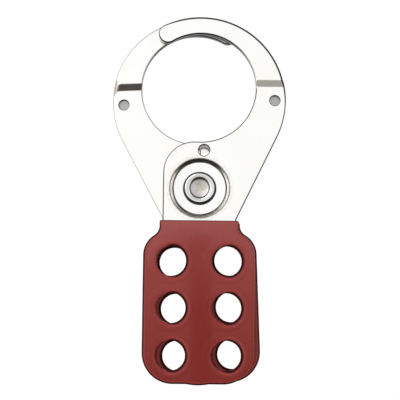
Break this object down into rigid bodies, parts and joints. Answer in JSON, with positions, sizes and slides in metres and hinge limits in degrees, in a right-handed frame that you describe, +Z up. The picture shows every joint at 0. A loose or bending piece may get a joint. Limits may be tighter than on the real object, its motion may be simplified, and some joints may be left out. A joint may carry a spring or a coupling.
{
  "type": "lockout hasp",
  "caption": "Scissor-type safety lockout hasp: two riveted steel plates whose hooked jaws close into a ring, with padlock holes in the vinyl-dipped handles.",
  "frame": {"origin": "centre of the jaw opening, on the plane where the two jaw plates meet", "axes": "+Z up from the handles to the jaws, front face towards -Y, +X to the right seen from the front"},
  "size_m": [0.0602, 0.0098, 0.1273],
  "materials": {
    "plated_steel": "bright zinc plate, smooth stamped sheet",
    "rivet_steel": "bright zinc plate, cold formed",
    "red_vinyl": "semi-gloss dipped vinyl"
  },
  "bodies": {
    "rear_jaw": {"rear_jaw_plate": "plated_steel", "rear_handle_coating": "red_vinyl", "pivot_rivet": "rivet_steel"},
    "front_jaw": {"front_jaw_plate": "plated_steel", "front_handle_coating": "red_vinyl"}
  },
  "joints": [
    {"name": "jaw_pivot", "type": "hinge", "parent": "rear_jaw", "child": "front_jaw", "pos_m": [0, 0, -0.03515], "axis": [0, 1, 0], "range_deg": [-2.4, 65]}
  ]
}
